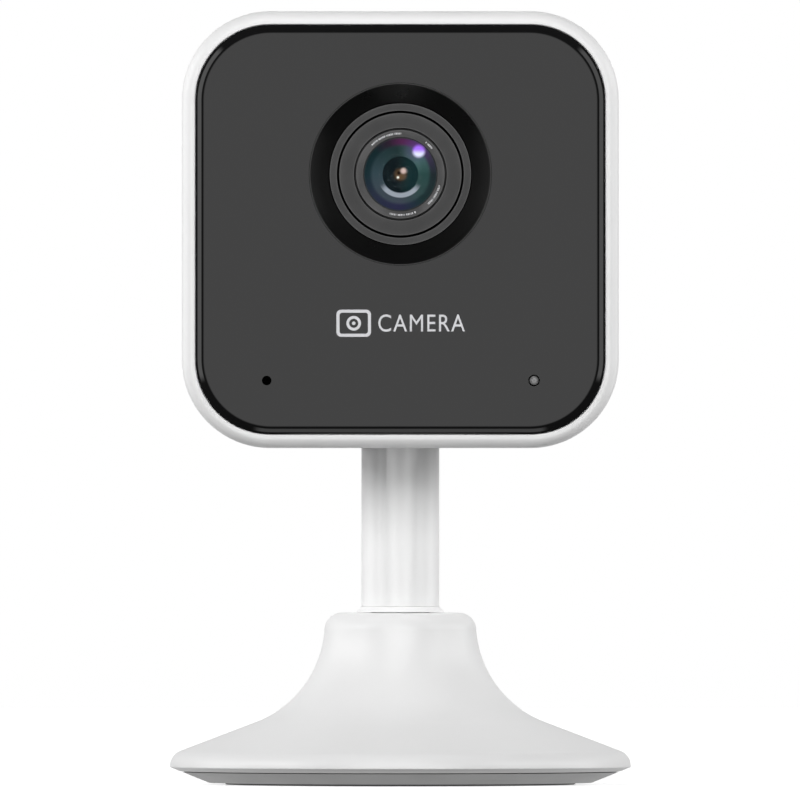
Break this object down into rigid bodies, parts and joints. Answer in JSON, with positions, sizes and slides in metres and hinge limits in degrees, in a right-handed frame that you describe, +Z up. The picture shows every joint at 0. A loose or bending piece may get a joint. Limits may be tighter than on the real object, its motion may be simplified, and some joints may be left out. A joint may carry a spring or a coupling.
{
  "type": "security camera",
  "caption": "Square-headed indoor security camera with a dark front window, on a tilting, swivelling neck and a round flared base.",
  "frame": {"origin": "centre of the foot on the table, below the neck's axis", "axes": "+Z up along the neck, the window faces -Y, +X to the viewer's right when looking at the window"},
  "size_m": [0.063, 0.063, 0.1054],
  "materials": {
    "white_shell": "fine matte moulded white",
    "cover_white": "matte moulded off-white",
    "rubber": "matte grey-black rubber",
    "friction_pad": "matte hard rubber",
    "steel": "zinc-plated steel",
    "weight_steel": "blackened steel",
    "nylon": "natural nylon",
    "window_black": "polished smoked acrylic",
    "foam": "matte black foam",
    "hood_black": "polished black",
    "ring_grey": "satin dark grey",
    "barrel_black": "black anodised",
    "lens_glass": "coated optical glass",
    "filter_glass": "coated filter glass",
    "holder_black": "matte black",
    "copper": "enamelled copper winding",
    "sensor_chip": "glass-topped chip",
    "board_green": "solder mask green",
    "chip_black": "moulded epoxy",
    "shield_metal": "tinned sheet",
    "fin_aluminium": "cast aluminium",
    "antenna_foil": "gilded foil",
    "lead_black": "black sleeve",
    "flex": "flat flexible cable",
    "led_resin": "clear resin",
    "pipe_grey": "smoky light pipe",
    "speaker_black": "black frame and cone",
    "button_grey": "matte grey"
  },
  "bodies": {
    "base": {"base_shell": "white_shell", "base_cover": "cover_white", "foot_pad": "rubber", "base_screws": "steel", "base_weight": "weight_steel", "swivel_bush": "nylon", "friction_washer": "friction_pad"},
    "neck": {"neck_stem": "white_shell", "neck_collar": "white_shell", "keeper_washer": "steel", "swivel_screw": "steel"},
    "head": {"hinge_housing": "white_shell", "front_shell": "white_shell", "rear_shell": "white_shell", "tilt_washers": "friction_pad", "tilt_pin": "steel", "pin_nut": "steel", "pin_plates": "steel", "housing_screws": "steel", "head_screws": "steel", "holder_screws": "steel", "board_screws": "steel", "front_board_screws": "steel", "front_window": "window_black", "window_gasket": "foam", "mic_gasket": "foam", "lens_hood": "hood_black", "hood_ring": "ring_grey", "lens_cover_ring": "ring_grey", "lens_barrel": "barrel_black", "front_spacer": "barrel_black", "iris_plate": "barrel_black", "rear_spacer": "barrel_black", "lens_lock_ring": "barrel_black", "front_lens": "lens_glass", "inner_lens": "lens_glass", "rear_lens": "lens_glass", "lens_holder": "holder_black", "filter_coil": "copper", "image_sensor": "sensor_chip", "main_board": "board_green", "front_board": "board_green", "processor": "chip_black", "light_sensor": "chip_black", "reset_switch": "chip_black", "microphone": "chip_black", "wifi_module": "shield_metal", "usb_socket": "shield_metal", "card_socket": "shield_metal", "heat_spreader": "fin_aluminium", "antenna": "antenna_foil", "antenna_lead": "lead_black", "ribbon_cable": "flex", "ir_leds": "led_resin", "status_led": "led_resin", "light_pipe": "pipe_grey", "speaker": "speaker_black"},
    "filter": {"filter_slider": "holder_black", "filter_panes": "filter_glass"},
    "reset_button": {"reset_button": "button_grey"}
  },
  "joints": [
    {"name": "swivel", "type": "hinge", "parent": "base", "child": "neck", "pos_m": [0, 0, 0.02], "axis": [0, 0, 1], "continuous": true},
    {"name": "tilt", "type": "hinge", "parent": "neck", "child": "head", "pos_m": [0, 0, 0.0572], "axis": [-1, 0, 0], "range_deg": [-15, 90]},
    {"name": "filter_switch", "type": "slide", "parent": "head", "child": "filter", "axis": [-1, 0, 0], "range_m": [0, 0.0066]},
    {"name": "reset_press", "type": "slide", "parent": "head", "child": "reset_button", "axis": [0, -1, 0], "range_m": [0, 0.0005], "stiffness_N_per_m": 800}
  ]
}
